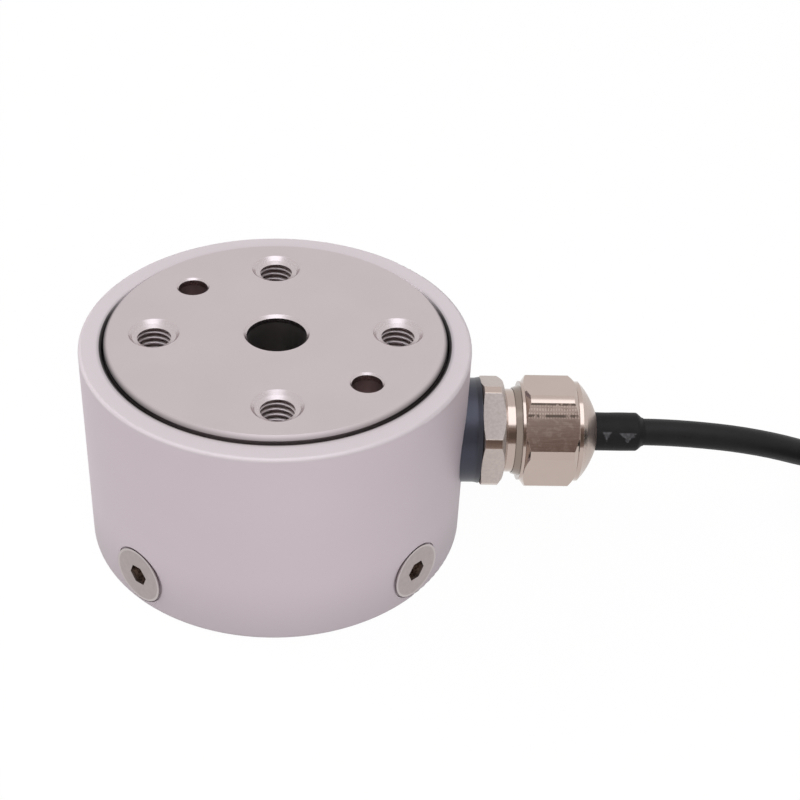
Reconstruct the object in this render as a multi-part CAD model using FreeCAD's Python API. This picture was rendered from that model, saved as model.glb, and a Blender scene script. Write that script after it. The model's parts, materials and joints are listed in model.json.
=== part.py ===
import FreeCAD
import Part
import math
import os

# Flange torque sensor, in millimetres. The base mounting face lies at z = 0, the torque axis is +Z,
# and the cable gland points along +X, apart from a small turn of its own.

# Sleeve round the sensor
housing_diameter = 78.0
housing_wall = 4.5
housing_height = 45.0
housing_edge_round = 0.7
housing_inner_chamfer = 0.3
base_stand_off = 0.3
top_stand_off = 1.2

# One-piece sensing element
flange_gap = 0.45
base_fit_clearance = 0.05
top_flange_floor = 0.6
flange_chamfer = 0.8
torsion_tube_diameter = 26.0
torsion_tube_fillet = 2.5
centre_bore_diameter = 12.0
centre_bore_chamfer = 0.6

# Holes in both flange faces
bolt_circle_diameter = 48.4
bolt_count = 4
thread_diameter = 8.0
thread_depth = 9.0
thread_mouth_diameter = 10.2
base_thread_mouth_diameter = 8.8
drill_point_half_angle = 59.0
dowel_diameter = 6.0
dowel_depth = 7.0
dowel_mouth_diameter = 6.8
dowel_angles = (135.0, 315.0)

# Countersunk screws through the sleeve
screw_count = 4
screw_first_angle = 45.0
screw_height = 7.4
screw_diameter = 6.0
screw_length = 10.0
screw_head_diameter = 12.0
screw_head_rim = 0.2
screw_head_proud = 0.1
screw_socket_width = 4.0
screw_socket_depth = 2.0
screw_hole_clearance = 0.3
screw_head_clearance = 0.3
screw_recess_depth = 0.9
screw_turns = (20.0, -15.0, 8.0, -7.0)

# Seal rings in the flange rims
seal_section_diameter = 1.5
seal_groove_clearance = 0.1
flange_seal_depth = 4.0
base_seal_screw_land = 0.3
base_seal_rim_land = 0.7

# Cable gland, measured outwards from the sleeve
gland_turn = -2.0
gland_thread_diameter = 16.0
gland_thread_length = 10.45
gland_thread_chamfer = 0.8
gland_washer_diameter = 21.8
gland_washer_thickness = 2.9
gland_washer_bore_clearance = 0.1
gland_washer_lip = 0.2
gland_washer_lip_length = 1.0
gland_hex_length = 3.9
gland_hex_chamfer = 0.85
gland_foot_chamfer = 0.45
gland_foot_inset = 0.25
gland_shoulder_length = 0.55
gland_body_turn = 22.8
gland_neck_wall = 2.205
gland_neck_showing = 1.7
hex_corner_cut = 0.5
cap_wall = 1.7
cap_turn = 11.2
cap_mouth_land = 0.25
cap_collar_length = 1.25
cap_collar_rise = 0.4
cap_step_inset = 0.15
cap_step_length = 0.6
cap_step_chamfer = 0.9
cap_hex_length = 9.0
cap_hex_chamfer = 1.1
cap_ring_inset = 0.05
cap_ring_length = 0.8
cap_shoulder_length = 0.95
cap_shoulder_drop = 1.05
cap_dome_length = 2.7
cap_dome_bulge = 0.2
cap_lip = 0.3
cap_grip = 7.8
cap_thread_clearance = 0.1
cap_throat_length = 2.7
cap_inner_cone_length = 2.8
sleeve_clearance = 0.2
seal_wall = 2.37
seal_pocket_depth = 5.0
seal_pocket_clearance = 0.1
seal_length = 8.3
claw_wall = 1.85
claw_length = 3.2
claw_seat_gap = 0.1
claw_slots = 8
claw_slot_width = 0.8
claw_slot_depth = 2.2

# Cable and its sleeve at the gland
cable_diameter = 5.7
sleeve_diameter = 8.05
sleeve_inside_gland = 16.0
sleeve_showing = 10.5
sleeve_end_length = 2.0
sleeve_end_lip = 0.1
cable_inside_housing = 10.5

# Strain gauges and their terminals on the torsion tube
gauge_angles = (90.0, 270.0)
gauge_width = 9.0
gauge_end_clearance = 2.1
gauge_thickness = 0.15
terminal_width = 7.0
terminal_height = 2.4
terminal_thickness = 0.8
terminal_gap = 1.0
gauge_lead_diameter = 0.5
gauge_lead_bend = 2.0
gauge_leads_each = 3
gauge_lead_pitch_angle = 10.0

# Fork-shaped board on the base flange
board_gland_clearance = 2.95
board_thickness = 1.6
board_slot_clearance = 1.0
spacer_height = 3.0
spacer_diameter = 5.0
board_screw_inset = 4.0
board_screw_angles = (60.0, 120.0, 240.0, 300.0)
board_screw_diameter = 2.5
board_screw_bite = 3.4
board_screw_head_diameter = 4.5
board_screw_head_height = 1.7
board_screw_socket_width = 1.5
board_screw_socket_depth = 0.9
board_hole_clearance = 0.1
board_tap_spare = 0.6
resistor_length = 3.2
resistor_width = 1.6
resistor_height = 0.6
resistor_inset = 8.0
resistor_angles = (-42.0, -24.0, 24.0, 42.0)
core_diameter = 1.2
core_pitch = 1.5
core_straight_lower = 2.0
core_straight_upper = 3.0

# Put-away length of the cable: a coil of full layers on the floor, held by a tie
coil_centre_x = 158.0
coil_side_step = 14.0
coil_mean_diameter = 66.0
coil_columns = 4
coil_layers = 3
coil_column_pitch = 5.97
coil_layer_pitch = 5.75
tie_thickness = 0.8
tie_width = 6.0
tie_clearance = 0.3
tie_angle = 165.0
tail_start_angle = 75.0
tail_end_angle = 0.0
end_sleeve_wall = 0.5
end_sleeve_cover_angle = 20.0
end_sleeve_reach_angle = 8.0
lead_diameter = 1.1
lead_pitch = 1.2
lead_start_gap = 0.15
lead_length = 32.0
lead_bend_radii = {"red": 22.0, "black": 29.0, "green": 40.0, "white": 60.0}

# Working sizes
housing_radius = housing_diameter / 2
housing_inner_radius = housing_radius - housing_wall
housing_top = base_stand_off + housing_height
top_face = housing_top + top_stand_off
flange_radius = housing_inner_radius - flange_gap
base_radius = housing_inner_radius - base_fit_clearance
thread_radius = thread_diameter / 2
drill_point_length = thread_radius / math.tan(math.radians(drill_point_half_angle))
top_flange_thickness = thread_depth + drill_point_length + top_flange_floor
flange_underside = top_face - top_flange_thickness
tube_radius = torsion_tube_diameter / 2
bore_radius = centre_bore_diameter / 2
bolt_circle_radius = bolt_circle_diameter / 2
seal_radius = seal_section_diameter / 2
seal_groove_half = seal_radius + seal_groove_clearance
flange_seal_height = top_face - flange_seal_depth
base_seal_height = screw_height + screw_diameter / 2 + base_seal_screw_land + seal_groove_half
base_flange_thickness = base_seal_height + seal_groove_half + base_seal_rim_land
screw_face_radius = housing_radius + screw_head_proud
screw_tip_radius = screw_face_radius - screw_length
cable_radius = cable_diameter / 2
sleeve_radius = sleeve_diameter / 2
gland_thread_radius = gland_thread_diameter / 2
cable_axis_height = base_stand_off + housing_height / 2
gland_seat = housing_radius + gland_washer_thickness
gland_inner_end = gland_seat - gland_thread_length
gland_hex_end = gland_seat + gland_hex_length
gland_shoulder_end = gland_hex_end + gland_hex_chamfer + gland_shoulder_length
cap_start = gland_shoulder_end + gland_neck_showing
gland_outer_end = cap_start + cap_grip
cap_exit_radius = sleeve_radius + sleeve_clearance
seal_pocket_floor = gland_outer_end - seal_pocket_depth
seal_outer_radius = sleeve_radius + seal_wall
seal_pocket_radius = seal_outer_radius + seal_pocket_clearance
gland_neck_radius = seal_pocket_radius + gland_neck_wall
cap_thread_radius = gland_neck_radius + cap_thread_clearance
spanner_width = 2 * (cap_thread_radius + cap_wall)
hex_flat_radius = spanner_width / 2
hex_corner_radius = spanner_width / math.sqrt(3)
hex_turned_radius = hex_corner_radius - hex_corner_cut
cap_step_place = cap_start + cap_collar_length
cap_step_radius = hex_flat_radius - cap_step_inset
cap_step_end = cap_step_place + cap_step_length
cap_hex_start = cap_step_end + cap_step_chamfer
cap_hex_end = cap_hex_start + cap_hex_length
cap_ring_start = cap_hex_end + cap_hex_chamfer
cap_ring_end = cap_ring_start + cap_ring_length
cap_dome_start = cap_ring_end + cap_shoulder_length
cap_end = cap_dome_start + cap_dome_length
cap_cone_end = cap_end - cap_throat_length
cap_cone_start = cap_cone_end - cap_inner_cone_length
sleeve_end = cap_end + sleeve_showing
cable_inner_end = housing_radius - cable_inside_housing
board_underside = base_flange_thickness + spacer_height
board_top = board_underside + board_thickness
board_radius = gland_inner_end - board_gland_clearance
board_screw_place = board_radius - board_screw_inset
board_screw_radius = board_screw_diameter / 2
terminal_middle = board_top + gauge_lead_bend
gauge_bottom = terminal_middle + terminal_height / 2 + terminal_gap
gauge_top = flange_underside - torsion_tube_fillet - gauge_end_clearance
gauge_height = gauge_top - gauge_bottom
coil_mean_radius = coil_mean_diameter / 2
coil_half_width = (coil_columns - 1) * coil_column_pitch / 2
coil_outer_turn = coil_mean_radius + coil_half_width
coil_inner_turn = coil_mean_radius - coil_half_width
coil_floor = tie_thickness
coil_top = coil_floor + cable_diameter + (coil_layers - 1) * coil_layer_pitch
coil_entry_height = coil_floor + cable_radius
end_sleeve_radius = cable_radius + end_sleeve_wall
tail_radius = coil_inner_turn + coil_column_pitch / 4
tail_height = coil_top + end_sleeve_radius

# Free cable from the gland to the coil, chosen by hand
gland_heading = math.radians(gland_turn)
cable_route = [
    (sleeve_end * math.cos(gland_heading), sleeve_end * math.sin(gland_heading), cable_axis_height),
    (84.0, 84.0 * math.tan(gland_heading), cable_axis_height),
    (102.0, -3.3, 20.5),
    (121.0, 1.0, 11.5),
    (141.0, coil_side_step, 5.1),
    (coil_centre_x, coil_side_step, coil_entry_height),
]
arc_share_of_run = 0.45

Vector = FreeCAD.Vector
ORIGIN = Vector(0, 0, 0)
X_AXIS = Vector(1, 0, 0)
Z_AXIS = Vector(0, 0, 1)
GLAND_AXIS = Vector(0, 0, cable_axis_height)
COIL_AXIS = Vector(coil_centre_x, coil_side_step - coil_outer_turn, 0)

# Pieces made on the X axis and then turned with the gland
GLAND_SIDE = (
    "gland_washer", "gland_body", "gland_seal", "gland_claw", "gland_cap_nut", "cable_sleeve", "cable_entry",
    "core_red", "core_black", "core_green", "core_white",
)


# Shared shapes

def outline_face(start, *steps):
    """Closed face: each step is a point to draw a line to, or a pair (through, to) for an arc."""
    edges = []
    here = start
    for step in steps:
        if isinstance(step, tuple):
            through, to = step
            edges.append(Part.Arc(here, through, to).toShape())
        else:
            to = step
            edges.append(Part.LineSegment(here, to).toShape())
        here = to
    if not here.isEqual(start, 1e-6):
        edges.append(Part.LineSegment(here, start).toShape())
    return Part.Face(Part.Wire(edges))


def turned(*corners):
    """Solid turned about the torque axis from (radius, height) corners."""
    points = [Vector(radius, 0, height) for radius, height in corners]
    return outline_face(*points).revolve(ORIGIN, Z_AXIS, 360)


def turned_on_gland(*corners):
    """Solid turned about the cable axis from (distance along X, radius) corners."""
    points = [gland_point(along, radius) for along, radius in corners]
    return outline_face(*points).revolve(GLAND_AXIS, X_AXIS, 360)


def gland_point(along, radius):
    return GLAND_AXIS + Vector(along, 0, radius)


def rim_edges(shape, radius, height):
    """Circular edges about the torque axis with this radius and height."""
    found = []
    for edge in shape.Edges:
        curve = edge.Curve
        if isinstance(curve, Part.Circle):
            same_size = abs(curve.Radius - radius) < 1e-4
            if same_size and abs(curve.Center.z - height) < 1e-4:
                found.append(edge)
    return found


def around(shape, angles):
    """Copies of a shape turned about the torque axis."""
    copies = []
    for angle in angles:
        turned_copy = shape.copy()
        turned_copy.rotate(ORIGIN, Z_AXIS, angle)
        copies.append(turned_copy)
    return copies


def spread_angles(count, first=0.0):
    return [first + 360.0 * number / count for number in range(count)]


def hexagon_along_x(start, length, turn):
    """Hexagonal bar on the cable axis, with a corner turned from -Y towards +Z."""
    points = []
    for angle in spread_angles(6, turn):
        side = math.radians(angle)
        corner = Vector(start, -hex_corner_radius * math.cos(side), hex_corner_radius * math.sin(side))
        points.append(GLAND_AXIS + corner)
    points.append(points[0])
    return Part.Face(Part.makePolygon(points)).extrude(Vector(length, 0, 0))


def swept(wire, radius):
    """Round bar of one radius along a smooth wire."""
    first = wire.OrderedEdges[0]
    begin = first.valueAt(first.FirstParameter)
    heading = first.tangentAt(first.FirstParameter)
    if first.Orientation == "Reversed":
        begin = first.valueAt(first.LastParameter)
        heading = -first.tangentAt(first.LastParameter)
    section = Part.Wire(Part.makeCircle(radius, begin, heading))
    return wire.makePipeShell([section], True, True)


def cone_mouth(place, inward, mouth_radius, hole_radius):
    """Right-angled countersink from a face into a hole."""
    return Part.makeCone(mouth_radius, hole_radius, mouth_radius - hole_radius, place, inward)


# Sensing element

def flange_holes(face_height, inward, mouth_diameter):
    """Tapped holes and dowel holes of one mounting face, with the thread left as surface detail."""
    place = Vector(bolt_circle_radius, 0, face_height)
    tapped = Part.makeCylinder(thread_radius, thread_depth, place, inward)
    tapped = tapped.fuse(cone_mouth(place, inward, mouth_diameter / 2, thread_radius))
    floor = place + inward * thread_depth
    tapped = tapped.fuse(Part.makeCone(thread_radius, 0, drill_point_length, floor, inward))
    dowel = Part.makeCylinder(dowel_diameter / 2, dowel_depth, place, inward)
    dowel = dowel.fuse(cone_mouth(place, inward, dowel_mouth_diameter / 2, dowel_diameter / 2))
    return around(tapped, spread_angles(bolt_count)) + around(dowel, dowel_angles)


def seal_groove(rim_radius, middle):
    """Groove in a flange rim that leaves a seal ring bearing on the sleeve."""
    half = seal_groove_half
    floor = housing_inner_radius - seal_section_diameter - seal_groove_clearance
    outside = rim_radius + flange_gap
    return turned(
        (floor, middle - half), (outside, middle - half), (outside, middle + half), (floor, middle + half)
    )


def screw_taps():
    """Radial tapped holes in the base flange for the sleeve's screws, clear of their heads."""
    place = Vector(screw_tip_radius, 0, screw_height)
    tap = Part.makeCylinder(screw_diameter / 2, housing_radius - screw_tip_radius, place, X_AXIS)
    return around(tap.fuse(screw_head()), spread_angles(screw_count, screw_first_angle))


def board_taps():
    depth = board_screw_bite + board_tap_spare
    place = Vector(board_screw_place, 0, base_flange_thickness - depth)
    return around(Part.makeCylinder(board_screw_radius, depth, place), board_screw_angles)


def make_sensing_element():
    blank = turned(
        (bore_radius, 0), (base_radius, 0),
        (base_radius, base_flange_thickness), (tube_radius, base_flange_thickness),
        (tube_radius, flange_underside), (flange_radius, flange_underside),
        (flange_radius, top_face), (bore_radius, top_face),
    )
    inner_corners = rim_edges(blank, tube_radius, base_flange_thickness)
    inner_corners += rim_edges(blank, tube_radius, flange_underside)
    blank = blank.makeFillet(torsion_tube_fillet, inner_corners)
    rims = rim_edges(blank, base_radius, 0) + rim_edges(blank, base_radius, base_flange_thickness)
    rims += rim_edges(blank, flange_radius, flange_underside) + rim_edges(blank, flange_radius, top_face)
    blank = blank.makeChamfer(flange_chamfer, rims)
    mouths = rim_edges(blank, bore_radius, 0) + rim_edges(blank, bore_radius, top_face)
    blank = blank.makeChamfer(centre_bore_chamfer, mouths)
    cuts = flange_holes(top_face, -Z_AXIS, thread_mouth_diameter)
    cuts += flange_holes(0, Z_AXIS, base_thread_mouth_diameter)
    cuts += screw_taps() + board_taps()
    cuts.append(seal_groove(flange_radius, flange_seal_height))
    cuts.append(seal_groove(base_radius, base_seal_height))
    return blank.cut(cuts)


def make_seal_ring(middle):
    return Part.makeTorus(housing_inner_radius - seal_radius, seal_radius, Vector(0, 0, middle))


# Sleeve and its screws

def screw_head():
    """Countersunk head, pointing at the torque axis."""
    head_radius = screw_head_diameter / 2
    shank_radius = screw_diameter / 2
    place = Vector(screw_face_radius, 0, screw_height)
    rim = Part.makeCylinder(head_radius, screw_head_rim, place, -X_AXIS)
    seat = place - X_AXIS * screw_head_rim
    cone = Part.makeCone(head_radius, shank_radius, head_radius - shank_radius, seat, -X_AXIS)
    return rim.fuse(cone)


def screw_opening():
    """Countersunk hole in the sleeve for one screw, with a recess that leaves the head's edge free."""
    place = Vector(housing_inner_radius - housing_wall, 0, screw_height)
    hole = Part.makeCylinder(screw_diameter / 2 + screw_hole_clearance, 2 * housing_wall, place, X_AXIS)
    recess_floor = Vector(screw_face_radius - screw_recess_depth, 0, screw_height)
    recess_radius = screw_head_diameter / 2 + screw_head_clearance
    recess = Part.makeCylinder(recess_radius, housing_wall, recess_floor, X_AXIS)
    return hole.fuse([screw_head(), recess])


def make_housing_sleeve():
    blank = turned(
        (housing_inner_radius, base_stand_off), (housing_radius, base_stand_off),
        (housing_radius, housing_top), (housing_inner_radius, housing_top),
    )
    outer = rim_edges(blank, housing_radius, base_stand_off) + rim_edges(blank, housing_radius, housing_top)
    blank = blank.makeFillet(housing_edge_round, outer)
    inner = rim_edges(blank, housing_inner_radius, base_stand_off)
    inner += rim_edges(blank, housing_inner_radius, housing_top)
    blank = blank.makeChamfer(housing_inner_chamfer, inner)
    gland_hole = Part.makeCylinder(gland_thread_radius, housing_radius, GLAND_AXIS, X_AXIS)
    gland_hole.rotate(ORIGIN, Z_AXIS, gland_turn)
    openings = around(screw_opening(), spread_angles(screw_count, screw_first_angle))
    return blank.cut(openings + [gland_hole])


def make_housing_screw(turn):
    """Socket screw on +X, turned about its own axis."""
    shank_length = screw_length - screw_head_rim
    place = Vector(screw_face_radius - screw_head_rim, 0, screw_height)
    shank = Part.makeCylinder(screw_diameter / 2, shank_length, place, -X_AXIS)
    screw = screw_head().fuse(shank).removeSplitter()
    corner = screw_socket_width / math.sqrt(3)
    socket_point = Vector(screw_face_radius, 0, screw_height)
    points = []
    for angle in spread_angles(6, turn):
        side = math.radians(angle)
        points.append(socket_point + Vector(0, corner * math.cos(side), corner * math.sin(side)))
    points.append(points[0])
    socket = Part.Face(Part.makePolygon(points)).extrude(Vector(-screw_socket_depth, 0, 0))
    tip = socket_point - X_AXIS * screw_socket_depth
    socket_tip = Part.makeCone(screw_socket_width / 2, 0, screw_socket_width / 4, tip, -X_AXIS)
    return screw.cut([socket, socket_tip])


def make_housing_screws():
    """Screws round the sleeve, each stopped at a turn of its own."""
    screws = []
    for angle, turn in zip(spread_angles(screw_count, screw_first_angle), screw_turns):
        screws += around(make_housing_screw(turn), [angle])
    return Part.makeCompound(screws)


# Cable gland

def make_gland_washer():
    """Rubber saddle: hollowed to the sleeve's curve, with a lip that flares out under the hexagon."""
    radius = gland_washer_diameter / 2
    bore = gland_thread_radius + gland_washer_bore_clearance
    ring = turned_on_gland(
        (0, bore), (0, radius), (gland_seat - gland_washer_lip_length, radius),
        (gland_seat, radius + gland_washer_lip), (gland_seat, bore),
    )
    return ring.cut(Part.makeCylinder(housing_radius, housing_top + housing_height))


def make_gland_body():
    bore = cap_exit_radius
    neck = gland_neck_radius
    tube = turned_on_gland(
        (gland_inner_end, bore), (gland_inner_end, gland_thread_radius - gland_thread_chamfer),
        (gland_inner_end + gland_thread_chamfer, gland_thread_radius), (gland_seat, gland_thread_radius),
        (gland_seat, neck), (gland_outer_end - gland_thread_chamfer, neck),
        (gland_outer_end, neck - gland_thread_chamfer), (gland_outer_end, seal_pocket_radius),
        (seal_pocket_floor, seal_pocket_radius), (seal_pocket_floor, bore),
    )
    length = gland_shoulder_end - gland_seat
    limit = turned_on_gland(
        (gland_seat, 0), (gland_seat, hex_flat_radius - gland_foot_inset),
        (gland_seat + gland_foot_chamfer, hex_turned_radius), (gland_hex_end, hex_turned_radius),
        (gland_hex_end + gland_hex_chamfer, hex_flat_radius), (gland_shoulder_end, neck),
        (gland_shoulder_end, 0),
    )
    hexagon = hexagon_along_x(gland_seat, length, gland_body_turn).common(limit)
    inside = Part.makeCylinder(neck, length, gland_point(gland_seat, 0), X_AXIS)
    return tube.fuse(hexagon.cut(inside)).removeSplitter()


def make_gland_seal():
    end = seal_pocket_floor + seal_length
    taper = (seal_outer_radius - sleeve_radius) / 2
    return turned_on_gland(
        (seal_pocket_floor, sleeve_radius), (seal_pocket_floor, seal_outer_radius),
        (end - taper, seal_outer_radius), (end, seal_outer_radius - taper), (end, sleeve_radius),
    )


def make_gland_claw():
    """Plastic ring between the seal and the cap, slotted so that it closes as the cap is tightened."""
    start = gland_outer_end + claw_seat_gap
    end = start + claw_length
    outer = seal_pocket_radius + claw_wall
    ring = turned_on_gland(
        (start, seal_pocket_radius), (start, outer), (end - claw_wall / 2, outer),
        (end, outer - claw_wall / 2), (end, seal_pocket_radius),
    )
    slots = []
    for angle in spread_angles(claw_slots):
        slot = Part.makeBox(claw_slot_depth, claw_slot_width, outer * 2)
        slot.translate(gland_point(end - claw_slot_depth, 0) - Vector(0, claw_slot_width / 2, 0))
        slot.rotate(GLAND_AXIS, X_AXIS, angle)
        slots.append(slot)
    return ring.cut(slots)


def make_gland_cap_nut():
    """Hexagon with turned corners between a stepped mouth and a ringed dome."""
    mouth = cap_thread_radius + cap_mouth_land
    ring = hex_flat_radius - cap_ring_inset
    dome_start = gland_point(cap_dome_start, ring - cap_shoulder_drop)
    dome_end = gland_point(cap_end, cap_exit_radius + cap_lip)
    chord = dome_end - dome_start
    outward = Vector(-chord.z, 0, chord.x)
    outward.normalize()
    dome_through = (dome_start + dome_end) * 0.5 + outward * cap_dome_bulge
    face = outline_face(
        gland_point(cap_start, 0), gland_point(cap_start, mouth),
        gland_point(cap_step_place, mouth + cap_collar_rise), gland_point(cap_step_place, cap_step_radius),
        gland_point(cap_step_end, cap_step_radius), gland_point(cap_hex_start, hex_turned_radius),
        gland_point(cap_hex_end, hex_turned_radius), gland_point(cap_ring_start, ring),
        gland_point(cap_ring_end, ring),
        dome_start, (dome_through, dome_end), gland_point(cap_end, 0),
    )
    limit = face.revolve(GLAND_AXIS, X_AXIS, 360)
    hexagon = hexagon_along_x(cap_start, cap_end - cap_start, cap_turn)
    hollow = turned_on_gland(
        (cap_start, 0), (cap_start, cap_thread_radius), (cap_cone_start, cap_thread_radius),
        (cap_cone_end, cap_exit_radius), (cap_end, cap_exit_radius), (cap_end, 0),
    )
    return hexagon.common(limit).cut(hollow)


# Cable at the gland

def make_cable_sleeve():
    """Heat-shrunk tube whose end is rounded down to a thin lip on the cable."""
    start = cap_end - sleeve_inside_gland
    lip_radius = cable_radius + sleeve_end_lip
    drop = sleeve_radius - lip_radius
    round_radius = (sleeve_end_length ** 2 + drop ** 2) / (2 * drop)
    half_length = sleeve_end_length / 2
    half_drop = round_radius - math.sqrt(round_radius ** 2 - half_length ** 2)
    round_start = sleeve_end - sleeve_end_length
    round_through = gland_point(round_start + half_length, sleeve_radius - half_drop)
    face = outline_face(
        gland_point(start, cable_radius), gland_point(start, sleeve_radius),
        gland_point(round_start, sleeve_radius), (round_through, gland_point(sleeve_end, lip_radius)),
        gland_point(sleeve_end, cable_radius),
    )
    return face.revolve(GLAND_AXIS, X_AXIS, 360)


def make_cable_entry():
    length = sleeve_end - cable_inner_end
    return Part.makeCylinder(cable_radius, length, gland_point(cable_inner_end, 0), X_AXIS)


def make_core(side, level, straight):
    """One core from the jacket's end to the board: straight out, then a quarter bend down."""
    start = gland_point(cable_inner_end, level * core_pitch / 2) + Vector(0, side * core_pitch / 2, 0)
    drop = start.z - board_top
    bend = start - X_AXIS * straight
    middle = Vector(bend.x, bend.y, board_top)
    quarter = math.sqrt(0.5) * drop
    through = middle + Vector(-quarter, 0, quarter)
    line = Part.LineSegment(start, bend).toShape()
    arc = Part.Arc(bend, through, middle - X_AXIS * drop).toShape()
    return swept(Part.Wire([line, arc]), core_diameter / 2)


# Gauges, terminals and board

def tube_patch(width, height, thickness, bottom, angle):
    """Thin patch bonded to the torsion tube, centred on an angle."""
    spread = math.degrees(width / tube_radius)
    place = Vector(0, 0, bottom)
    outer = Part.makeCylinder(tube_radius + thickness, height, place, Z_AXIS, spread)
    patch = outer.cut(Part.makeCylinder(tube_radius, height, place))
    patch.rotate(ORIGIN, Z_AXIS, angle - spread / 2)
    return patch


def make_strain_gauges():
    patches = [tube_patch(gauge_width, gauge_height, gauge_thickness, gauge_bottom, a) for a in gauge_angles]
    return Part.makeCompound(patches)


def make_gauge_terminals():
    bottom = terminal_middle - terminal_height / 2
    patches = []
    for angle in gauge_angles:
        patches.append(tube_patch(terminal_width, terminal_height, terminal_thickness, bottom, angle))
    return Part.makeCompound(patches)


def make_gauge_leads():
    """Wires that leave each terminal outwards and bend down onto the board."""
    start = Vector(tube_radius + terminal_thickness, 0, terminal_middle)
    half = gauge_lead_bend * math.sqrt(0.5)
    middle = start - Z_AXIS * gauge_lead_bend
    arc = Part.Arc(start, middle + Vector(half, 0, half), middle + X_AXIS * gauge_lead_bend)
    wire = swept(Part.Wire(arc.toShape()), gauge_lead_diameter / 2)
    angles = []
    for angle in gauge_angles:
        for number in range(gauge_leads_each):
            offset = number - (gauge_leads_each - 1) / 2
            angles.append(angle + offset * gauge_lead_pitch_angle)
    return Part.makeCompound(around(wire, angles))


def make_bridge_board():
    """Fork-shaped board that slides in round the torsion tube from the side away from the cable."""
    slot_half = tube_radius + board_slot_clearance
    place = Vector(0, 0, board_underside)
    disc = Part.makeCylinder(board_radius, board_thickness, place)
    slot_end = Part.makeCylinder(slot_half, board_thickness, place)
    slot_corner = place - Vector(board_radius, slot_half, 0)
    slot = Part.makeBox(board_radius, 2 * slot_half, board_thickness, slot_corner)
    hole_radius = board_screw_radius + board_hole_clearance
    hole = Part.makeCylinder(hole_radius, board_thickness, place + X_AXIS * board_screw_place)
    return disc.cut([slot_end, slot] + around(hole, board_screw_angles))


def make_board_spacers():
    place = Vector(board_screw_place, 0, base_flange_thickness)
    post = Part.makeCylinder(spacer_diameter / 2, spacer_height, place)
    post = post.cut(Part.makeCylinder(board_screw_radius + board_hole_clearance, spacer_height, place))
    return Part.makeCompound(around(post, board_screw_angles))


def make_board_screws():
    head_place = Vector(board_screw_place, 0, board_top)
    head = Part.makeCylinder(board_screw_head_diameter / 2, board_screw_head_height, head_place)
    length = board_thickness + spacer_height + board_screw_bite
    shank = Part.makeCylinder(board_screw_radius, length, head_place, -Z_AXIS)
    corner = board_screw_socket_width / math.sqrt(3)
    top = head_place + Z_AXIS * board_screw_head_height
    points = []
    for angle in spread_angles(6):
        side = math.radians(angle)
        points.append(top + Vector(corner * math.cos(side), corner * math.sin(side), 0))
    points.append(points[0])
    socket = Part.Face(Part.makePolygon(points)).extrude(Vector(0, 0, -board_screw_socket_depth))
    screw = head.fuse(shank).removeSplitter().cut(socket)
    return Part.makeCompound(around(screw, board_screw_angles))


def make_balance_resistors():
    corner = Vector(board_radius - resistor_inset - resistor_width / 2, -resistor_length / 2, board_top)
    chip = Part.makeBox(resistor_width, resistor_length, resistor_height, corner)
    return Part.makeCompound(around(chip, resistor_angles))


# Free cable, coil and far end

def rounded_path(points):
    """Straight runs joined by the largest tangent arcs that the runs allow."""
    corners = [Vector(*point) for point in points]
    edges = []
    radii = []
    here = corners[0]
    for before, corner, after in zip(corners, corners[1:], corners[2:]):
        back = before - corner
        ahead = after - corner
        reach = arc_share_of_run * min(back.Length, ahead.Length)
        back.normalize()
        ahead.normalize()
        half_turn = (math.pi - back.getAngle(ahead)) / 2
        radius = reach / math.tan(half_turn)
        bisector = back + ahead
        bisector.normalize()
        sagitta = radius / math.cos(half_turn) - radius
        begin = corner + back * reach
        end = corner + ahead * reach
        edges.append(Part.LineSegment(here, begin).toShape())
        edges.append(Part.Arc(begin, corner + bisector * sagitta, end).toShape())
        radii.append(radius)
        here = end
    edges.append(Part.LineSegment(here, corners[-1]).toShape())
    return Part.Wire(edges), radii


def make_cable_run(coil):
    """Cable from the sleeve to the coil, ended where it lies against the coil."""
    path, radii = rounded_path(cable_route)
    tube = swept(path, cable_radius)
    expected = math.pi * cable_radius ** 2 * path.Length
    print("cable run: bend radii", [round(radius, 1) for radius in radii], "length", round(path.Length, 1))
    print("cable run: volume over section times length", round(tube.Volume / expected, 5))
    return tube.cut(coil)


def coil_point(radius, angle, height):
    side = math.radians(angle)
    return COIL_AXIS + Vector(radius * math.cos(side), radius * math.sin(side), height)


def make_cable_coil():
    """Outer shape of the wound turns: a ring with corners as round as the cable."""
    inner = coil_inner_turn - cable_radius
    outer = coil_outer_turn + cable_radius
    half = cable_radius * math.sqrt(0.5)
    low = coil_floor + cable_radius
    high = coil_top - cable_radius
    left = coil_inner_turn
    right = coil_outer_turn
    face = outline_face(
        coil_point(left, 0, coil_floor), coil_point(right, 0, coil_floor),
        (coil_point(right + half, 0, low - half), coil_point(outer, 0, low)), coil_point(outer, 0, high),
        (coil_point(right + half, 0, high + half), coil_point(right, 0, coil_top)),
        coil_point(left, 0, coil_top),
        (coil_point(left - half, 0, high + half), coil_point(inner, 0, high)), coil_point(inner, 0, low),
        (coil_point(left - half, 0, low - half), coil_point(left, 0, coil_floor)),
    )
    return face.revolve(COIL_AXIS, Z_AXIS, 360)


def make_coil_tie():
    """Strap closed round the turns, with the coil resting on its lower run."""
    inner = coil_inner_turn - cable_radius - tie_clearance
    outer = coil_outer_turn + cable_radius + tie_clearance
    depth = outer - inner
    height = coil_top - coil_floor
    window = Part.makeBox(depth, tie_width, height, Vector(inner, -tie_width / 2, coil_floor))
    band_corner = Vector(inner - tie_thickness, -tie_width / 2, coil_floor - tie_thickness)
    band = Part.makeBox(depth + 2 * tie_thickness, tie_width, height + 2 * tie_thickness, band_corner)
    upright = [edge for edge in band.Edges if abs(edge.tangentAt(edge.FirstParameter).y) > 0.5]
    tie = band.makeFillet(tie_thickness, upright).cut(window)
    tie.rotate(ORIGIN, Z_AXIS, tie_angle)
    tie.translate(COIL_AXIS)
    return tie


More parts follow.
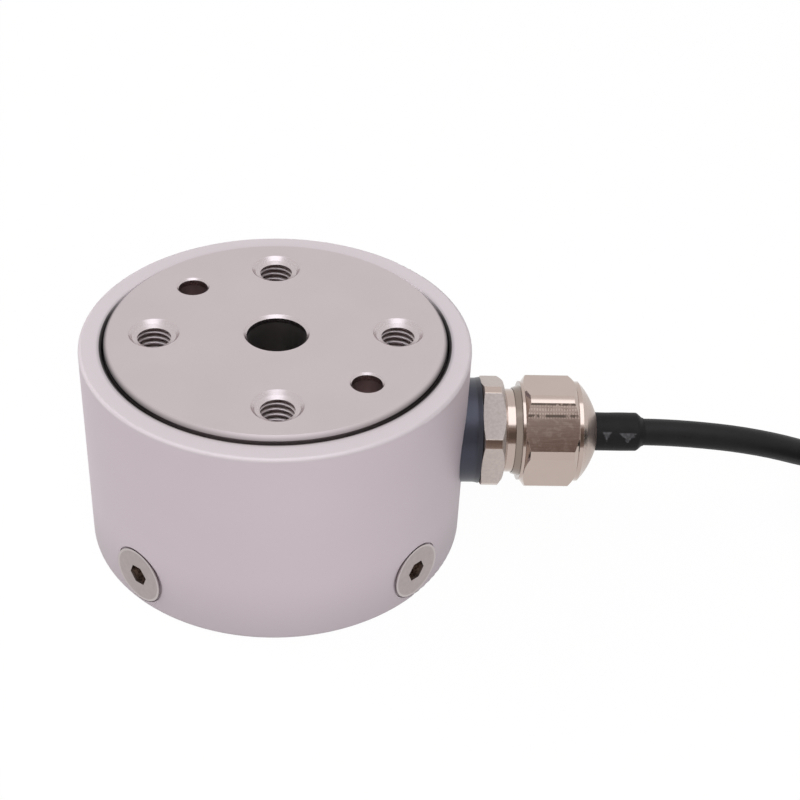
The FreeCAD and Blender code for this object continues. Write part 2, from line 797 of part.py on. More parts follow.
def tail_piece(section, from_angle, to_angle):
    """Section turned about the coil axis, from one angle clockwise to another."""
    section.rotate(COIL_AXIS, Z_AXIS, to_angle)
    return section.revolve(COIL_AXIS, Z_AXIS, from_angle - to_angle)


def tail_disc(radius):
    middle = coil_point(tail_radius, 0, tail_height)
    return Part.Face(Part.Wire(Part.makeCircle(radius, middle, Vector(0, 1, 0))))


def make_cable_tail():
    return tail_piece(tail_disc(cable_radius), tail_start_angle, tail_end_angle)


def make_cable_end_sleeve():
    ring = tail_disc(end_sleeve_radius).cut(tail_disc(cable_radius))
    begin = tail_end_angle + end_sleeve_cover_angle
    return tail_piece(ring, begin, tail_end_angle - end_sleeve_reach_angle)


def make_lead(place_in_row, bend_radius):
    """Lead from the jacket's end that bends round and comes down onto the coil."""
    angle = math.radians(tail_end_angle)
    inward = Vector(-math.cos(angle), -math.sin(angle), 0)
    ahead = Vector(math.sin(angle), -math.cos(angle), 0)
    start = coil_point(tail_radius, tail_end_angle, tail_height)
    start = start + inward * (place_in_row * lead_pitch) + ahead * lead_start_gap
    drop = start.z - coil_top - lead_diameter / 2
    turn = lead_length / bend_radius
    fall = math.asin(drop / (bend_radius * math.sin(turn)))
    heading = ahead * math.cos(fall) - Z_AXIS * math.sin(fall)

    def along(share):
        swing = turn * share
        sideways = inward * (bend_radius * (1 - math.cos(swing)))
        return start + heading * (bend_radius * math.sin(swing)) + sideways

    arc = Part.Arc(along(0), along(0.5), along(1)).toShape()
    return swept(Part.Wire(arc), lead_diameter / 2)


def main():
    coil = make_cable_coil()
    nodes = {
        "sensing_element": make_sensing_element(),
        "housing_sleeve": make_housing_sleeve(),
        "housing_screws": make_housing_screws(),
        "flange_seal_ring": make_seal_ring(flange_seal_height),
        "base_seal_ring": make_seal_ring(base_seal_height),
        "strain_gauges": make_strain_gauges(),
        "gauge_terminals": make_gauge_terminals(),
        "gauge_leads": make_gauge_leads(),
        "bridge_board": make_bridge_board(),
        "board_spacers": make_board_spacers(),
        "board_screws": make_board_screws(),
        "balance_resistors": make_balance_resistors(),
        "core_red": make_core(-1, 1, core_straight_upper),
        "core_black": make_core(1, 1, core_straight_upper),
        "core_green": make_core(-1, -1, core_straight_lower),
        "core_white": make_core(1, -1, core_straight_lower),
        "gland_washer": make_gland_washer(),
        "gland_body": make_gland_body(),
        "gland_seal": make_gland_seal(),
        "gland_claw": make_gland_claw(),
        "gland_cap_nut": make_gland_cap_nut(),
        "cable_sleeve": make_cable_sleeve(),
        "cable_entry": make_cable_entry(),
        "cable_run": make_cable_run(coil),
        "cable_coil": coil,
        "coil_tie": make_coil_tie(),
        "cable_tail": make_cable_tail(),
        "cable_end_sleeve": make_cable_end_sleeve(),
    }
    for name in GLAND_SIDE:
        nodes[name].rotate(ORIGIN, Z_AXIS, gland_turn)
    row_middle = (len(lead_bend_radii) - 1) / 2
    for number, (colour, bend_radius) in enumerate(lead_bend_radii.items()):
        nodes[f"lead_{colour}"] = make_lead(row_middle - number, bend_radius)
    os.makedirs("parts", exist_ok=True)
    for name, shape in nodes.items():
        shape.exportStep(f"parts/{name}.step")


main()
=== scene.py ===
import json
import math

import bpy
from mathutils import Matrix, Vector, noise


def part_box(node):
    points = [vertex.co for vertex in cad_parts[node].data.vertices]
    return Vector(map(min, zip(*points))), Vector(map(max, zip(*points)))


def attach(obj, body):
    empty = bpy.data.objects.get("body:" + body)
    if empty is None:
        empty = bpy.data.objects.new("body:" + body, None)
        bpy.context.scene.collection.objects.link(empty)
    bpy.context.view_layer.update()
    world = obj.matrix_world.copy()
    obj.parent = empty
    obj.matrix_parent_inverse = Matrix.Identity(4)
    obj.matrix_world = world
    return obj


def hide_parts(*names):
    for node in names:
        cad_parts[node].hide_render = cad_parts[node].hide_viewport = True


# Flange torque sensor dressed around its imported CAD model, in metres and in the CAD frame.

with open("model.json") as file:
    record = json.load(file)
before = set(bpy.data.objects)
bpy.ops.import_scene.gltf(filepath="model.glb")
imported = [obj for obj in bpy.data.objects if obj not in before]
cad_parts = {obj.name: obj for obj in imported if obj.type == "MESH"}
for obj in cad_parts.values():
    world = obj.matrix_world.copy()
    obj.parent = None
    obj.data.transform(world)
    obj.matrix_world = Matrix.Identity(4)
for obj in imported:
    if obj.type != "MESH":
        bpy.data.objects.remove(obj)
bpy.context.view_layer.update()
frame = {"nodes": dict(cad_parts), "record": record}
nodes = frame["nodes"]
mounts = {mount["name"]: mount for mount in frame["record"]["mounts"]}

MM = 0.001
TURN = 2 * math.pi
WHITE = (1, 1, 1)

# Edges sharper than this are shaded as edges
SMOOTH_ANGLE = math.radians(35)

# Pitch of a wave texture's bands at scale 1
WAVE_PITCH = math.pi / 10

# Camera, fitted to the photo's outlines
IMAGE_WIDTH_PX = 800
FOCAL_LENGTH_PX = 1539
SENSOR_WIDTH = 36
CAMERA_PLACE = Vector((-0.92, -254.46, 218.43)) * MM
CAMERA_YAW = math.radians(5.888)
CAMERA_PITCH = math.radians(36.435)
CAMERA_ROLL = math.radians(3.136)

# Gland and cable, as in the CAD model
GLAND_TURN = math.radians(-2.0)
CABLE_HEIGHT = 22.8 * MM
CABLE_DIAMETER = 5.7 * MM
CABLE_BEVEL_STEPS = 6
CABLE_SPLINE_STEPS = 6
CABLE_ROUTE_MM = [
    (76.653, -2.677, 22.8),
    (84.0, -2.933, 22.8),
    (102.0, -3.3, 20.5),
    (121.0, 1.0, 11.5),
    (141.0, 14.0, 5.1),
]

# Turns of the put-away coil
COIL_LAYERS = 3
TURNS_PER_LAYER = 3
COIL_COLUMN_PITCH = 5.97 * MM
STEPS_PER_TURN = 24
TAIL_TURNS = 0.25
TAIL_STEP_IN = COIL_COLUMN_PITCH / 4
TAIL_STEP_IN_TURNS = TAIL_TURNS / 2
CLIMB_TURNS = 0.8

# Strap round the coil, at this step of each turn, with its free end lapped over its start
STRAP_STEP = 19
STRAP_WIDTH = 6.0 * MM
STRAP_THICKNESS = 0.65 * MM
STRAP_GAP = 0.1 * MM
STRAP_START = math.radians(-50.0)
STRAP_ROUND_STEPS = 72
STRAP_LAP_STEPS = 24
STRAP_RISE_STEPS = 6

# Heat-shrunk sleeve on the cable
SHRINK_RADIUS = 4.025 * MM
SHRINK_START = 50.2 * MM
SHRINK_END = 76.7 * MM
SHRINK_TAPER = 1.7 * MM
SHRINK_LIP = 0.12 * MM
SHRINK_WRINKLE = 0.05 * MM
SHRINK_WRINKLE_LENGTH = 3.2 * MM
SHRINK_WRINKLES_ROUND = 1.3
SHRINK_RINGS = 120
SHRINK_SIDES = 96

# M8 threads in the flange holes
THREAD_PITCH = 1.25 * MM
THREAD_CREST_RADIUS = 3.35 * MM
THREAD_CREST_WIDTH = 0.32 * MM
THREAD_FOOT_WIDTH = 1.1 * MM
THREAD_TURNS = 5
THREAD_LEAD_IN = 0.2 * MM
THREAD_START = math.radians(30.0)
THREAD_SINK = 0.02 * MM
TOP_MOUTH_RADIUS = 5.1 * MM
BASE_MOUTH_RADIUS = 4.4 * MM
THREAD_STEPS_PER_TURN = 48

# Turned rings of the flanges, about four per millimetre
TURNED_RING_SCALE = 1200.0

# Dark gap between the top flange and the sleeve: its width, its painted shade in front and at the two sides,
# and where the front passes into the sides along X and into the back without painted shade along Y
FLANGE_GAP = 0.45 * MM
GAP_SHADE_FRONT = (0.26, 0.225, 0.23)
GAP_SHADE_SIDE = (0.03, 0.026, 0.026)
GAP_SIDE_FADE = (12 * MM, 36 * MM)
GAP_BACK_FADE = (20 * MM, 6 * MM)

# Screws of the sleeve: the angle of one of them from +X, and the edge of the painted shade in the socket by
# radius
SCREW_TURN = math.radians(-45.0)
SOCKET_FADE = (2.6 * MM, 2.4 * MM)

# Nickel-plated gland: the way its flats with painted shade face, the angles where the shade fades, the
# rounding of its edges
SHADED_FLATS_AIM = (-90, 47)
SHADED_FLATS_FADE = (35, 20)
EDGE_ROUNDING = 0.1 * MM

# Zones of the gland: the flats by radius, the cap's upper part by height, all others along the gland's axis
FLATS_ZONE = (10.45 * MM, 10.5 * MM, 11.57 * MM, 11.61 * MM)
CAP_UPPER_FADE = (7.8 * MM, 9.2 * MM)
WASHER_SHADE_FADE = (40.0 * MM, 41.4 * MM)
BODY_END_FADE = (47.6 * MM, 46.8 * MM)
STEP_ZONE = (48.7 * MM, 48.95 * MM, 50.1 * MM, 50.3 * MM)
DOME_TIP_FADE = (62.0 * MM, 64.5 * MM)

# Tool marks on the front flat of the cap nut: heights of two broken lines above the gland's axis
JAW_LINES = (10.5 * MM, 8.65 * MM)

# Painted glints on the heat-shrunk sleeve: place along the gland's axis, half width, tip and brim below the
# axis
GLINTS_MM = [(68.5, 1.2, 2.3, 0.0), (72.9, 2.1, 2.6, 0.2)]
GLINT_TILT = math.radians(37.5)

# Floor, white where it is seen
FLOOR_SIZE = 6.0
FLOOR_DROP = 0.05 * MM
FLOOR_GLOW = 1.1
FLOOR_GLOW_SHARE = 0.88
FLOOR_COLOUR = (0.25, 0.25, 0.25)

# What mirrors show: aims by compass and height angle, edges by their outer and inner angle, all in degrees
SOFT_BOX_AIM = (-79, 78)
SOFT_BOX_FADE = (28.5, 25.5)
SOFT_BOX_COLOUR = (2.25, 2.35, 2.45)
DARK_ROOM_AIM = (-79.7, 22.0)
DARK_ROOM_RINGS = [
    (29.5, 27.5, (0.66, 0.62, 0.60)),
    (22.6, 21.6, (0.28, 0.22, 0.195)),
    (16.0, 6.0, (0.16, 0.13, 0.11)),
]

# Light of the studio on dull surfaces, and where its left passes into its right along X
STUDIO_LIGHT_LEFT = (0.5, 0.49, 0.4925)
STUDIO_LIGHT_RIGHT = (0.05, 0.049, 0.049)
STUDIO_LIGHT_FADE = (-0.1, 0.9)

# Lamps: name, compass angle from +X and height angle in degrees, power in watts
LAMPS = [
    ("front_lamp", -80, 33, 13.2),
    ("left_lamp", 162, 33, 8.8),
    ("top_lamp", -60, 85, 3.6),
]
LAMP_TARGET = Vector((0.02, 0, 0.02))
LAMP_DISTANCE = 1.4
LAMP_SIZE = 1.0


# Small helpers for node materials

def new_material(name, colour, metallic, roughness):
    made = bpy.data.materials.new(name)
    made.use_nodes = True
    shader = shader_of(made)
    shader.inputs["Base Color"].default_value = (*colour, 1)
    shader.inputs["Metallic"].default_value = metallic
    shader.inputs["Roughness"].default_value = roughness
    return made


def shader_of(made):
    return made.node_tree.nodes["Principled BSDF"]


def add_node(owner, kind, values=None, **settings):
    """New node with its settings and its input values; a value that is a socket is linked."""
    made = owner.node_tree.nodes.new(kind)
    for name, value in settings.items():
        setattr(made, name, value)
    for key, value in (values or {}).items():
        if isinstance(value, bpy.types.NodeSocket):
            owner.node_tree.links.new(value, made.inputs[key])
        else:
            made.inputs[key].default_value = value
    return made


def feed(made, name, socket):
    made.node_tree.links.new(socket, shader_of(made).inputs[name])


def coordinates(made):
    return add_node(made, "ShaderNodeTexCoord").outputs["Object"]


def mapped(made, vector, scale=(1, 1, 1), turn=(0, 0, 0), move=(0, 0, 0)):
    """Coordinates scaled, then turned, then moved."""
    values = {"Vector": vector, "Scale": scale, "Rotation": turn, "Location": move}
    return add_node(made, "ShaderNodeMapping", values).outputs[0]


def on_gland(made):
    """Coordinates with X along the gland's axis and the origin on it."""
    return mapped(made, coordinates(made), turn=(0, 0, -GLAND_TURN), move=(0, 0, -CABLE_HEIGHT))


def math_of(owner, operation, first, second=0.0):
    return add_node(owner, "ShaderNodeMath", {0: first, 1: second}, operation=operation).outputs[0]


def product(owner, first, second):
    return math_of(owner, "MULTIPLY", first, second)


def part_of(made, vector, axis):
    return add_node(made, "ShaderNodeSeparateXYZ", {0: vector}).outputs[axis]


def length_of(made, vector):
    return add_node(made, "ShaderNodeVectorMath", {0: vector}, operation="LENGTH").outputs["Value"]


def grain(made, size, detail=2.0, vector=None, roughness=0.5):
    """Noise with blobs of about this size, from 0 to 1."""
    values = {"Scale": 1 / size, "Detail": detail, "Roughness": roughness}
    values["Vector"] = vector or coordinates(made)
    return add_node(made, "ShaderNodeTexNoise", values).outputs["Fac"]


def bands(made, vector, direction, pitch, distortion):
    """Parallel bands across one axis, from 0 to 1, with this pitch."""
    values = {"Vector": vector, "Scale": WAVE_PITCH / pitch, "Distortion": distortion, "Detail": 1.0}
    wave = add_node(made, "ShaderNodeTexWave", values, wave_type="BANDS", bands_direction=direction)
    return wave.outputs["Fac"]


def ranged(made, fac, low, high, start=0.0, end=1.0):
    """Value that goes straight from low to high while the factor goes from start to end."""
    values = {"Value": fac, "From Min": start, "From Max": end, "To Min": low, "To Max": high}
    return add_node(made, "ShaderNodeMapRange", values).outputs["Result"]


def ramp(owner, value, start, end):
    """Smooth share from 0 at start to 1 at end."""
    values = {"Value": value, "From Min": start, "From Max": end}
    made = add_node(owner, "ShaderNodeMapRange", values, interpolation_type="SMOOTHSTEP")
    return made.outputs["Result"]


def window(made, value, start, full, fading, end):
    """Smooth share that rises from start to full and falls again from fading to end."""
    return product(made, ramp(made, value, start, full), ramp(made, value, end, fading))


def blended(made, fac, first, second):
    """Colour between two colours, each a tuple or a socket."""
    mix = add_node(made, "ShaderNodeMix", {"Factor": fac}, data_type="RGBA")
    for place, colour in (("A", first), ("B", second)):
        socket = [put for put in mix.inputs if put.name == place and put.type == "RGBA"][0]
        if isinstance(colour, bpy.types.NodeSocket):
            made.node_tree.links.new(colour, socket)
        else:
            socket.default_value = (*colour, 1)
    return [put for put in mix.outputs if put.type == "RGBA"][0]


def bumped(made, height, depth, normal=None):
    """Normal of a surface whose height varies by this depth."""
    values = {"Height": height, "Distance": depth, "Strength": 1.0}
    if normal:
        values["Normal"] = normal
    return add_node(made, "ShaderNodeBump", values).outputs["Normal"]


def aimed(azimuth, elevation):
    """Unit vector by its compass angle from +X and its height angle, in degrees."""
    turn, rise = math.radians(azimuth), math.radians(elevation)
    return Vector((math.cos(turn) * math.cos(rise), math.sin(turn) * math.cos(rise), math.sin(rise)))


def facing(owner, direction, aim, edge, inside):
    """Share of directions near an aim: 0 beyond the edge angle, 1 within the inside angle, in degrees."""
    values = {0: direction, 1: aimed(*aim)}
    dot = add_node(owner, "ShaderNodeVectorMath", values, operation="DOT_PRODUCT").outputs["Value"]
    return ramp(owner, dot, math.cos(math.radians(edge)), math.cos(math.radians(inside)))


# Places of the flange holes

def nearest_axis(made, flat, places):
    """Distance to the nearest of some upright axes."""
    nearest = None
    for place in places:
        apart = add_node(made, "ShaderNodeVectorMath", {0: flat, 1: place}, operation="DISTANCE")
        gap = apart.outputs["Value"]
        nearest = math_of(made, "MINIMUM", nearest, gap) if nearest else gap
    return nearest


def bolt_places():
    dims = mounts["top_bolts"]["dims"]
    circle = dims["pcd_mm"] / 2 * MM
    angles = [TURN * number / dims["count"] for number in range(dims["count"])]
    return [(circle * math.cos(angle), circle * math.sin(angle), 0) for angle in angles]


def dowel_places():
    return [(*mounts[name]["pos_m"][:2], 0) for name in ("top_dowel_a", "top_dowel_b")]


# Materials

def with_painted_gap_shade(made, place, share, colour):
    """Colour of a wall of the flange's gap, with painted shade: lighter in front, black at the two sides,
    none at the back.
    """
    aside = math_of(made, "ABSOLUTE", part_of(made, place, "X"))
    # Painted shade colour of the gap, from the front to the two sides
    shade_colour = blended(made, ramp(made, aside, *GAP_SIDE_FADE), GAP_SHADE_FRONT, GAP_SHADE_SIDE)
    not_back = ramp(made, part_of(made, place, "Y"), *GAP_BACK_FADE)
    return blended(made, product(made, share, not_back), colour, shade_colour)


def with_painted_hole_shade(made, flat, radius, depth, colour):
    """Colour with painted shade deep in the holes: on the thread roots and on the walls of the dowel holes
    and the bore.
    """
    hole = mounts["top_bolts"]["dims"]["hole_r_mm"] * MM
    from_bolt = nearest_axis(made, flat, bolt_places())
    at_roots = window(made, from_bolt, hole - 0.5 * MM, hole - 0.3 * MM, hole + 0.3 * MM, hole + 0.6 * MM)
    in_thread = product(made, ramp(made, depth, 1.3 * MM, 1.6 * MM), at_roots)
    colour = blended(made, in_thread, colour, (0.45, 0.37, 0.36))
    dowel = mounts["top_dowel_a"]["dims"]["r_mm"] * MM
    from_dowel = nearest_axis(made, flat, dowel_places())
    at_dowel = ramp(made, from_dowel, dowel + 0.4 * MM, dowel + 0.1 * MM)
    in_dowel = product(made, ramp(made, depth, 0.2 * MM, 1.2 * MM), at_dowel)
    colour = blended(made, in_dowel, colour, (0.46, 0.375, 0.375))
    bore = mounts["centre_bore"]["dims"]["r_mm"] * MM
    at_bore = ramp(made, radius, bore + 1.0 * MM, bore + 0.2 * MM)
    in_bore = product(made, ramp(made, depth, 0.5 * MM, 1.5 * MM), at_bore)
    return blended(made, in_bore, colour, (0.36, 0.33, 0.33))


def machined_steel():
    """Finely turned steel, smoother where the hole mouths are cut, with painted shade in its holes and at
    the flange's rim.
    """
    made = new_material("machined_steel", (0.545, 0.49, 0.485), 1.0, 0.4)
    place = coordinates(made)
    flat = mapped(made, place, scale=(1, 1, 0))
    radius = length_of(made, flat)
    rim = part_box("sensing_element")[1].x
    height = part_of(made, place, "Z")
    from_top = math_of(made, "SUBTRACT", mounts["top_face"]["pos_m"][2], height)
    depth = math_of(made, "MINIMUM", from_top, height)
    colour = blended(made, grain(made, 14 * MM, 3.0), (0.52, 0.457, 0.464), (0.57, 0.501, 0.509))
    colour = with_painted_hole_shade(made, flat, radius, depth, colour)
    # Painted shade on the top flange's rounded edge and its wall down into the gap
    on_edge = ramp(made, radius, rim - 1.2 * MM, rim - 0.3 * MM)
    at_rim = product(made, on_edge, ramp(made, depth, 1.6 * MM, 1.1 * MM))
    feed(made, "Base Color", with_painted_gap_shade(made, place, at_rim, colour))
    fine = grain(made, 0.16 * MM, 2.0)
    cut = window(made, depth, 0.02 * MM, 0.08 * MM, 1.5 * MM, 1.8 * MM)
    cut = product(made, cut, ramp(made, radius, rim - 2 * MM, rim - 3 * MM))
    roughness = ranged(made, fine, 0.34, 0.46)
    feed(made, "Roughness", math_of(made, "SUBTRACT", roughness, ranged(made, cut, 0.0, 0.14)))
    values = {"Vector": place, "Scale": TURNED_RING_SCALE, "Distortion": 1.5, "Detail": 2.0}
    rings = add_node(made, "ShaderNodeTexWave", values, wave_type="RINGS", rings_direction="Z")
    normal = bumped(made, fine, 0.003 * MM)
    feed(made, "Normal", bumped(made, rings.outputs["Fac"], 0.001 * MM, normal))
    return made


def anodised_aluminium():
    """Bead-blasted sleeve, paler on its top rim, with painted shade towards its foot and at the flange's
    gap.
    """
    made = new_material("anodised_aluminium", (0.585, 0.505, 0.545), 0.3, 0.5)
    cloud = grain(made, 22 * MM, 2.0)
    colour = blended(made, cloud, (0.57, 0.49, 0.53), (0.60, 0.52, 0.56))
    place = coordinates(made)
    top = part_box("housing_sleeve")[1].z
    height = part_of(made, place, "Z")
    on_rim = ramp(made, height, top - 1.2 * MM, top - 0.3 * MM)
    colour = blended(made, on_rim, colour, (0.567, 0.51, 0.535))
    # Painted shade: darker towards the foot
    colour = blended(made, ramp(made, height, 16 * MM, -3 * MM), colour, (0.47, 0.41, 0.44))
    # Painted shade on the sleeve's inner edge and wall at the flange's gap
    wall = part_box("sensing_element")[1].x + FLANGE_GAP
    radius = length_of(made, mapped(made, place, scale=(1, 1, 0)))
    near_top = ramp(made, height, top - 6 * MM, top - 5 * MM)
    on_edge = ranged(made, ramp(made, radius, wall + 0.8 * MM, wall + 0.1 * MM), 0.0, 0.35)
    on_wall = math_of(made, "MAXIMUM", on_edge, ramp(made, radius, wall + 0.12 * MM, wall + 0.02 * MM))
    in_gap = product(made, on_wall, near_top)
    feed(made, "Base Color", with_painted_gap_shade(made, place, in_gap, colour))
    blast = grain(made, 0.14 * MM, 3.0)
    feed(made, "Roughness", ranged(made, blast, 0.46, 0.58))
    feed(made, "Normal", bumped(made, blast, 0.010 * MM))
    return made


def screw_steel():
    """Stainless screws with a painted highlight on the head's rim and mottled painted shade in the socket.
    """
    made = new_material("screw_steel", (0.385, 0.335, 0.33), 1.0, 0.36)
    mottle = grain(made, 0.9 * MM, 4.0)
    colour = blended(made, mottle, (0.335, 0.29, 0.285), (0.435, 0.38, 0.375))
    low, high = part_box("housing_screws")
    head_radius = (high.z - low.z) / 2
    place = mapped(made, coordinates(made), turn=(0, 0, SCREW_TURN), move=(0, 0, -(low.z + high.z) / 2))
    sides = [math_of(made, "ABSOLUTE", part_of(made, place, axis)) for axis in ("X", "Y")]
    values = {"X": math_of(made, "MINIMUM", *sides), "Y": part_of(made, place, "Z")}
    radius = length_of(made, add_node(made, "ShaderNodeCombineXYZ", values).outputs[0])
    # Painted highlight on the head's rounded rim
    on_rim = ramp(made, radius, head_radius - 0.55 * MM, head_radius - 0.4 * MM)
    colour = blended(made, on_rim, colour, (0.50, 0.445, 0.445))
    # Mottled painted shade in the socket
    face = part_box("housing_sleeve")[1].x
    sunk = ramp(made, math_of(made, "MAXIMUM", *sides), face - 0.1 * MM, face - 0.5 * MM)
    in_socket = product(made, sunk, ramp(made, radius, *SOCKET_FADE))
    spots = ramp(made, grain(made, 0.5 * MM, 3.0), 0.4, 0.6)
    shade_colour = blended(made, spots, (0.18, 0.135, 0.115), (0.42, 0.35, 0.31))
    feed(made, "Base Color", blended(made, in_socket, colour, shade_colour))
    fine = grain(made, 0.12 * MM, 2.0)
    feed(made, "Roughness", ranged(made, fine, 0.30, 0.44))
    feed(made, "Normal", bumped(made, fine, 0.004 * MM))
    return made


def tool_marks(made, place, flat, colour):
    """Marks of a tool's jaws on a flat: broken dark lines, pale ticks above the lower one, dull patches."""
    height = part_of(made, place, "Z")
    patches = grain(made, 1.8 * MM, 4.0, roughness=0.65)
    worn = product(made, flat, ramp(made, patches, 0.48, 0.64))
    colour = blended(made, worn, colour, (0.45, 0.37, 0.332))
    ticks = product(made, bands(made, place, "X", 0.56 * MM, 1.6), bands(made, place, "Z", 0.62 * MM, 1.6))
    ticks = product(made, ticks, ranged(made, patches, 0.6, 1.3))
    lower_line = min(JAW_LINES)
    ticked = product(made, flat, ramp(made, ticks, 0.1, 0.6))
    ticked = product(made, ticked, ramp(made, height, lower_line - 0.9 * MM, lower_line + 0.2 * MM))
    colour = blended(made, ticked, colour, (0.74, 0.63, 0.58))
    breaks = grain(made, 1.2 * MM, 3.0, mapped(made, place, scale=(1, 0, 0.5)))
    broken = product(made, flat, ramp(made, breaks, 0.40, 0.48))
    for line in JAW_LINES:
        gap = math_of(made, "ABSOLUTE", math_of(made, "SUBTRACT", height, line))
        mark = product(made, broken, ramp(made, gap, 0.3 * MM, 0.15 * MM))
        colour = blended(made, mark, colour, (0.20, 0.165, 0.145))
    return colour


def satin_colour(made, speck, front):
    """Speckled colour of the body's flats, with painted shade where they face up to the front."""
    dark_speck = blended(made, front, (0.51, 0.445, 0.42), (0.34, 0.295, 0.277))
    pale_speck = blended(made, front, (0.57, 0.50, 0.47), (0.39, 0.34, 0.32))
    return blended(made, ramp(made, speck, 0.35, 0.65), dark_speck, pale_speck)


def plated_relief(made, place, speck, satin, drawn, upper):
    """Normal of the plating: rounded edges, ribs and cross marks where drawn, specks where satin."""
    stripes = grain(made, 0.4 * MM, 3.0, mapped(made, place, scale=(0.09, 1, 1)), 0.65)
    marks = grain(made, 0.5 * MM, 2.0, mapped(made, place, scale=(1, 0.12, 0.12)), 0.6)
    ribs = product(made, stripes, ranged(made, upper, 0.5, 1.0))
    rounded = add_node(made, "ShaderNodeBevel", {"Radius": EDGE_ROUNDING}, samples=4).outputs["Normal"]
    normal = bumped(made, product(made, ribs, drawn), 0.0035 * MM, rounded)
    normal = bumped(made, product(made, marks, drawn), 0.0010 * MM, normal)
    return bumped(made, product(made, speck, satin), 0.008 * MM, normal)


def plated_brass():
    """Nickel plating: bright where turned, satin on the body's flats, finely drawn on the cap's flats."""
    made = new_material("plated_brass", (0.48, 0.392, 0.35), 1.0, 0.12)
    place = on_gland(made)
    along = part_of(made, place, "X")
    height = part_of(made, place, "Z")
    radius = length_of(made, mapped(made, place, scale=(0, 1, 1)))
    on_flat = window(made, radius, *FLATS_ZONE)
    satin = product(made, on_flat, ramp(made, along, *BODY_END_FADE))
    drawn = math_of(made, "SUBTRACT", on_flat, satin)
    normal = add_node(made, "ShaderNodeNewGeometry").outputs["Normal"]
    # Painted shade on the flats that face up to the front
    front = facing(made, normal, SHADED_FLATS_AIM, *SHADED_FLATS_FADE)
    on_front = product(made, drawn, front)
    upper = product(made, on_front, ramp(made, height, *CAP_UPPER_FADE))
    speck = grain(made, 0.6 * MM, 3.0, roughness=0.7)
    colour = blended(made, grain(made, 5 * MM, 3.0), (0.46, 0.375, 0.335), (0.50, 0.409, 0.365))
    colour = blended(made, satin, colour, satin_colour(made, speck, front))
    # Painted shade on the step behind the cap nut
    colour = blended(made, window(made, along, *STEP_ZONE), colour, (0.27, 0.22, 0.19))
    # Painted shade on the cap's front flat
    colour = blended(made, on_front, colour, (0.375, 0.295, 0.26))
    # Painted highlight on the upper part of the cap's front flat
    colour = blended(made, upper, colour, (0.58, 0.485, 0.44))
    feed(made, "Base Color", tool_marks(made, place, on_front, colour))
    rougher = ranged(made, grain(made, 0.25 * MM, 3.0), 0.10, 0.16)
    rougher = math_of(made, "ADD", rougher, ranged(made, satin, 0.0, 0.42))
    at_tip = ramp(made, along, *DOME_TIP_FADE)
    rougher = math_of(made, "ADD", rougher, ranged(made, at_tip, 0.0, 0.25))
    feed(made, "Roughness", math_of(made, "SUBTRACT", rougher, ranged(made, drawn, 0.0, 0.06)))
    feed(made, "Normal", plated_relief(made, place, speck, satin, drawn, upper))
    return made


def washer_rubber():
    """Moulded rubber with a bluish sheen, blackest in the shade of the hexagon."""
    made = new_material("washer_rubber", (0.017, 0.018, 0.025), 0.0, 0.34)
    shader_of(made).inputs["Specular IOR Level"].default_value = 0.6
    shader_of(made).inputs["Specular Tint"].default_value = (0.80, 0.80, 1.0, 1)
    along = part_of(made, on_gland(made), "X")
    dust = grain(made, 2.5 * MM, 4.0)
    colour = blended(made, dust, (0.014, 0.015, 0.021), (0.020, 0.021, 0.029))
    shade = ramp(made, along, *WASHER_SHADE_FADE)
    feed(made, "Base Color", blended(made, shade, colour, (0.006, 0.006, 0.007)))
    fine = grain(made, 0.2 * MM, 3.0)
    feed(made, "Roughness", ranged(made, fine, 0.28, 0.40))
    feed(made, "Normal", bumped(made, fine, 0.006 * MM))
    return made


def rubber(name, colour, roughness, specular=0.5):
    """Rubber or a soft plastic, faintly clouded, with a fine grain."""
    made = new_material(name, colour, 0.0, roughness)
    shader_of(made).inputs["Specular IOR Level"].default_value = specular
    lighter = tuple(1.25 * part for part in colour)
    darker = tuple(0.8 * part for part in colour)
    feed(made, "Base Color", blended(made, grain(made, 3 * MM, 3.0), darker, lighter))
    fine = grain(made, 0.2 * MM, 3.0)
    feed(made, "Roughness", ranged(made, fine, roughness - 0.08, roughness + 0.08))
    feed(made, "Normal", bumped(made, fine, 0.012 * MM))
    return made


def shrink_tube():
    """Heat-shrunk tube with pale three-cornered painted glints on its front, pointing down."""
    made = rubber("shrink_tube", (0.0105, 0.01, 0.0105), 0.48, 0.10)
    place = mapped(made, on_gland(made), turn=(GLINT_TILT, 0, 0))
    across = part_of(made, place, "Z")
    front = ramp(made, part_of(made, place, "Y"), 0.0, -1 * MM)
    colour = shader_of(made).inputs["Base Color"].links[0].from_socket
    ragged = ranged(made, grain(made, 0.9 * MM, 4.0), -1.0 * MM, 1.0 * MM)
    patchy = ranged(made, grain(made, 0.7 * MM, 3.0), 0.4, 1.0, 0.35, 0.65)
    # Pale three-cornered painted glints
    for along, half_width, tip, brim in GLINTS_MM:
        offset = math_of(made, "ABSOLUTE", math_of(made, "SUBTRACT", part_of(made, place, "X"), along * MM))
        reach = ranged(made, across, 0.0, half_width * MM, -tip * MM, -brim * MM)
        inside = math_of(made, "ADD", math_of(made, "SUBTRACT", reach, offset), ragged)
        glint = product(made, ramp(made, inside, 0.0, 0.4 * MM), front)
        glint = product(made, glint, ramp(made, across, -brim * MM, -(brim + 0.3) * MM))
        glint = product(made, glint, patchy)
        colour = blended(made, glint, colour, (0.085, 0.083, 0.088))
    feed(made, "Base Color", colour)
    return made


